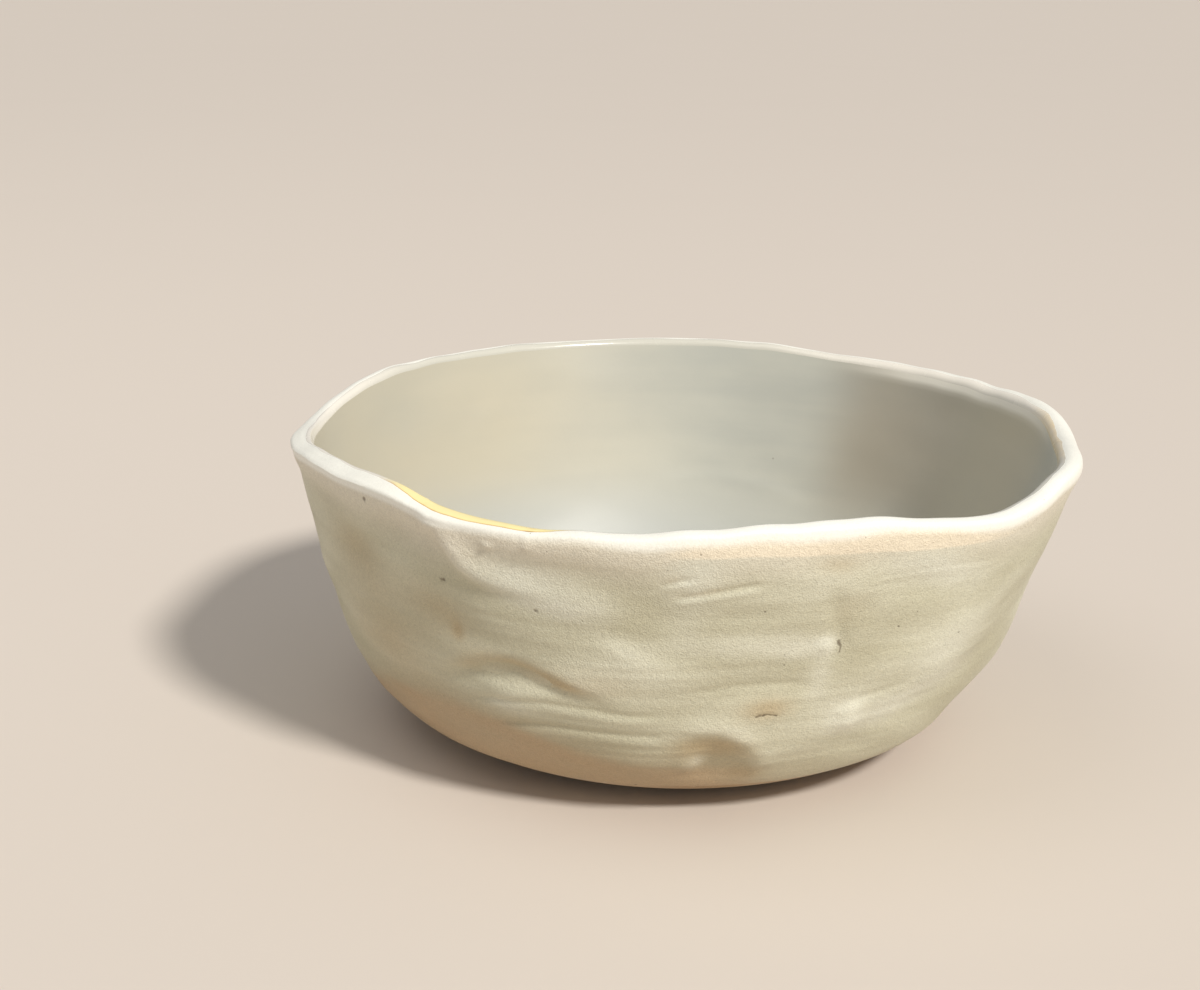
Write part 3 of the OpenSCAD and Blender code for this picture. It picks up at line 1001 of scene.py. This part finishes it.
def honeyCoat(look):
    angles = np.linspace(lineStart, 180, look["rows"])
    bead = glazeT + look["bead"] * np.sin(np.linspace(0, math.pi, look["rows"]))
    face = [lipRows([a], b) for a, b in zip(angles, bead)]
    rows = np.concatenate([*face, lipRows(angles[::-2], 0)])
    piece = spinSection("rimLine", rows, look["columns"])
    marks = handForm(piece, rows, look["crowd"])
    fromEdge = marks["lip"] - lineEdge(marks["bearing"])
    keepValues(piece, "edge", 1 - smooth(fromEdge, *look["edgeTurn"]))
    for name in ("gold", "shadedGold", "pale"):
        keepValues(piece, name, sumRuns(marks["bearing"], look[name + "Runs"]))
    handOver(piece, "rim_line", honeyFinish(look))


clayBody = {
    "columns": 180,
    "coilRows": 5,
    "wallRows": 24,
    "lipRows": 14,
    "buff": (0.53, 0.42, 0.29),
    "toast": (0.42, 0.30, 0.18),
    "grog": (0.66, 0.58, 0.46),
    "speck": (0.12, 0.08, 0.05),
    "rough": 0.82,
}


def clayFinish(look, name):
    finish, start, coords = newFinish(name)
    clouds = coords.noise(24, 4, 0.55)
    grit = coords.noise(1300, 2, 0.6)
    colour = clouds.ramp(-0.15, 0.18).mix(look["buff"], look["toast"])
    specks = coords.specks(260, 16, 0.72, 12.8, (-0.2, 0.6))
    colour = (specks * 0.6).mix(colour, look["speck"])
    grog = coords.noise(520, 1, 0.5).ramp(0.16, 0.24)
    colour = (grog * 0.5).mix(colour, look["grog"])
    bump = (grit + grog * 0.4).bump(0.6, 0.4)
    closeFinish(start, colour=colour, rough=look["rough"] + grit * 0.15, normal=bump, specular=0.3)
    return finish


def clayCourses(look):
    courseFinish = clayFinish(look, "clayCourse")
    outer = np.linspace(slabOuterT, courseT, look["wallRows"])
    inner = np.linspace(courseT, slabInnerT, look["wallRows"])
    upper = np.linspace(courseT, coilT, look["wallRows"])
    coil = np.linspace(coilT, 1, look["coilRows"])
    angles = np.linspace(0, 180, look["lipRows"])[1:]
    upperBack, coilBack = upper[::-1], coil[-2::-1]
    sections = [
        ("lowerWall", "lower_wall", [wallRows(outer, 0), wallRows(inner, wallAt(inner))]),
        ("upperWall", "upper_wall", [wallRows(upper, 0), wallRows(upperBack, wallAt(upperBack))]),
        ("rimCoil", "rim_coil",
         [wallRows(coil, 0), lipRows(angles, 0), wallRows(coilBack, wallAt(coilBack))]),
    ]
    for name, node, parts in sections:
        rows = np.concatenate(parts)
        piece = spinSection(name, rows, look["columns"])
        handForm(piece, rows)
        handOver(piece, node, courseFinish)


slabForm = {
    "columns": 180,
    "curveRows": 14,
    "floorRows": 8,
    "edgeRound": 0.7,  # mm
    "edgeSteps": 3,
    "tapRings": (0, 0.35, 0.7, 1),  # rings of vertices in the tapped hollow, as shares of its radius
    "tapSeed": 9,
    "tapMarks": (0.12, (2, 9), 6),  # mm of unevenness in the hollow, its range of turns and count
    "tapTwist": 3,  # degrees that it turns by each mm outwards
    "tapEdge": 1,  # mm at the middle and the edge that stay even
    "near": 0.01,  # mm within which a vertex counts as on a ring
}


def baseDisc(look):
    hollow, hollowR = bowlForm["hollowDepth"], footR - bowlForm["footRingW"]
    near, even = look["near"], look["tapEdge"]
    slope = hollowR - 2 * hollow
    under = [(slope * share, hollow) for share in look["tapRings"]] + [(hollowR, 0)]
    radii = np.linspace(heel[0], 0, look["floorRows"])
    outer = np.linspace(0, slabOuterT, look["curveRows"])
    inner = np.linspace(slabInnerT, 0, look["curveRows"])
    rows = np.concatenate([
        plainRows(under),
        plainRows(outsideAt(outer)),
        plainRows(depthAt(inner, wallAt(inner))),
        plainRows(floorRows(radii[1:], 0)[:, :2]),
    ])
    piece = spinSection("baseSlab", rows, look["columns"])
    bpy.ops.object.mode_set(mode="EDIT")
    bpy.ops.mesh.select_all(action="DESELECT")
    mesh = bmesh.from_edit_mesh(piece.data)
    for edge in mesh.edges:  # the rings at the foot's edge and round the hollow
        a, b = [(math.hypot(v.co.x, v.co.y) / mm, v.co.z / mm) for v in edge.verts]
        level = abs(a[0] - b[0]) < near and abs(a[1] - b[1]) < near
        onRing = min(abs(a[0] - ring) for ring in (slope, hollowR, footR)) < near
        edge.select = level and onRing and a[1] < hollow + near
    mesh.select_flush(True)
    bpy.ops.mesh.bevel(offset=look["edgeRound"] * mm, segments=look["edgeSteps"])
    bpy.ops.object.mode_set(mode="OBJECT")
    places = vertexPlaces(piece)
    bearing = np.degrees(np.arctan2(places[:, 1], places[:, 0]))
    radius = np.hypot(places[:, 0], places[:, 1])
    tapped = (np.abs(places[:, 2] - hollow) < near) & (radius > even) & (radius < slope - even)
    taps = roundNoise(bearing + radius * look["tapTwist"], look["tapSeed"], *look["tapMarks"])
    places[:, 2] += np.where(tapped, taps, 0)
    places[:, 0] += footX
    piece.data.vertices.foreach_set("co", (places * mm).ravel())
    piece.data.update()
    handOver(piece, "base_slab", clayFinish(clayBody, "bareClay"))


outerCoat(satinGlaze)
linerCoat(glossLiner)
honeyCoat(honeyLine)
clayCourses(clayBody)
baseDisc(slabForm)

studio = {
    "floorSize": 60.0,
    "floorColour": (0.67, 0.60, 0.53),
    "world": (0.945, 0.955, 0.97),
    "worldStrength": 0.39,
    "farColour": (0.69, 0.625, 0.545),  # what is seen past the floor
    "key": {
        "kind": "SUN", "bearing": -48, "high": 42, "away": 1.5, "size": 8.5,
        "power": 3.05, "colour": (1.0, 0.965, 0.915),
    },
    "fill": {
        "kind": "AREA", "bearing": 205, "high": 66, "away": 1.8, "size": 1.3,
        "power": 4.5, "colour": (1.0, 0.97, 0.93),
    },
}


def addLamp(name, lamp):
    bpy.ops.object.select_all(action="DESELECT")
    flat = fromAngle(lamp["bearing"]) * math.cos(math.radians(lamp["high"])) * lamp["away"]
    rise = math.sin(math.radians(lamp["high"])) * lamp["away"]
    bpy.ops.object.light_add(type=lamp["kind"], location=(flat[0], flat[1], rise))
    made = bpy.context.object
    made.name = name
    made.rotation_euler = (math.radians(90 - lamp["high"]), 0, math.radians(lamp["bearing"] + 90))
    if lamp["kind"] == "SUN":  # its size is an angle
        made.data.angle = math.radians(lamp["size"])
    else:
        made.data.shape = "DISK"
        made.data.size = lamp["size"]
    made.data.energy = lamp["power"]
    made.data.color = lamp["colour"]


def layFloor(look):
    bpy.ops.object.select_all(action="DESELECT")
    bpy.ops.mesh.primitive_plane_add(size=look["floorSize"])
    floor = bpy.context.object
    floor.name = "studioFloor"
    finish, start, coords = newFinish("floorCloth")
    worn = tuple(0.92 * c for c in look["floorColour"])
    colour = (coords.noise(3.0, 3, 0.5) * 0.25).mix(look["floorColour"], worn)
    closeFinish(start, colour=colour, rough=0.85, specular=0.2)
    floor.data.materials.append(finish)


def lightAir(look):
    scene.world = bpy.data.worlds.new("studioAir")
    scene.world.use_nodes = True
    scene.world.node_tree.nodes.clear()
    start = Wire(scene.world.node_tree)
    seen = start.node("ShaderNodeLightPath", output="Is Camera Ray")
    air, far = [
        start.node("ShaderNodeBackground", {}, {"Color": (*colour, 1), "Strength": strength})
        for colour, strength in ((look["world"], look["worldStrength"]), (look["farColour"], 1.0))
    ]
    both = start.node("ShaderNodeMixShader", {}, {0: seen, 1: air, 2: far})
    start.node("ShaderNodeOutputWorld", {}, {"Surface": both})


layFloor(studio)
addLamp("keyLamp", studio["key"])
addLamp("fillLamp", studio["fill"])
lightAir(studio)
scene.view_settings.view_transform = "Standard"
print("studio lit")
